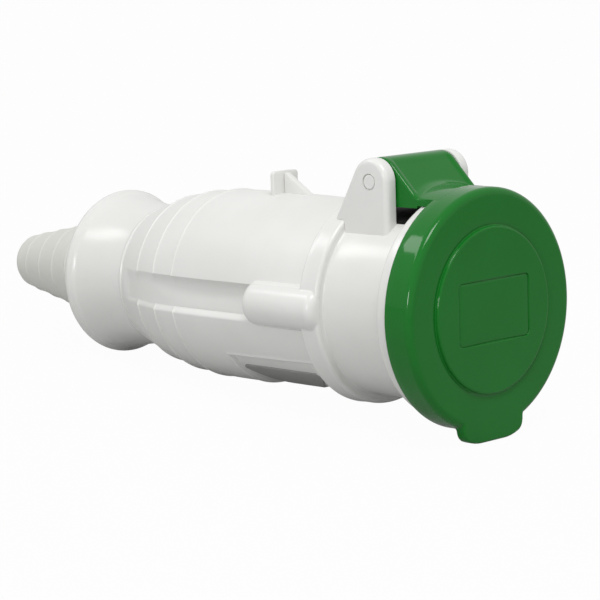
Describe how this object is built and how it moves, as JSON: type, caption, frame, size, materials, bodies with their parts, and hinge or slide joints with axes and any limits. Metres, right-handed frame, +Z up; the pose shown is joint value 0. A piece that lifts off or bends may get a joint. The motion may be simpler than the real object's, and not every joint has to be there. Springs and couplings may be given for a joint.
{
  "type": "pin and sleeve cable connector",
  "caption": "Female pin and sleeve cable connector with a sprung green hinged lid over its contacts, a waisted grey handle, a belled gland nut and a tapered cable boot.",
  "frame": {"origin": "centre of the mouth of the sleeve that a plug enters, on the connector's own axis", "axes": "+Z up, with the connector lying as it rests on a level floor on the lid's finger tab and on the gland nut's rear edge; the plug enters towards +Y, tilted down by 4.33 degrees, and the cable leaves at the +Y end; +X is to the right of someone who looks at the lid; the hinge is on top"},
  "size_m": [0.086, 0.2557, 0.0973],
  "materials": {
    "shell_gloss": "smooth glossy light grey moulding",
    "handle_satin": "finely textured satin light grey moulding",
    "lid_green": "smooth glossy green moulding",
    "boot_grey": "soft matt grey",
    "seal_black": "soft matt black",
    "insulator": "dark grey glass-filled insulator",
    "contact_metal": "turned contact brass, bright",
    "screw_steel": "zinc-plated steel",
    "plate_grey": "bare satin mid-grey plate"
  },
  "bodies": {
    "housing": {"front_housing": "shell_gloss", "hinge_pad": "seal_black", "hinge_pin": "shell_gloss", "hinge_spring": "screw_steel", "contact_carrier": "insulator", "carrier_base": "insulator", "contact_retainer": "insulator", "carrier_screw_left": "screw_steel", "carrier_screw_right": "screw_steel", "contact_earth": "contact_metal", "contact_l1": "contact_metal", "contact_l2": "contact_metal", "contact_l3": "contact_metal", "terminal_screw_earth": "screw_steel", "terminal_screw_l1": "screw_steel", "terminal_screw_l2": "screw_steel", "terminal_screw_l3": "screw_steel", "handle": "handle_satin", "label_plate": "plate_grey", "body_seal": "seal_black", "assembly_screw_left": "screw_steel", "assembly_screw_right": "screw_steel", "clamp_cage": "insulator", "cable_grommet": "seal_black", "gland_nut": "shell_gloss", "cable_boot": "boot_grey"},
    "lid": {"lid": "lid_green", "lid_gasket": "seal_black"}
  },
  "joints": [
    {"name": "lid_hinge", "type": "hinge", "parent": "housing", "child": "lid", "pos_m": [0, 0.03591, 0.04251], "axis": [-1, 0, 0], "range_deg": [0, 110], "stiffness_Nm_per_rad": 0.15, "springref_deg": -114.59, "deforming": ["hinge_spring"]}
  ]
}
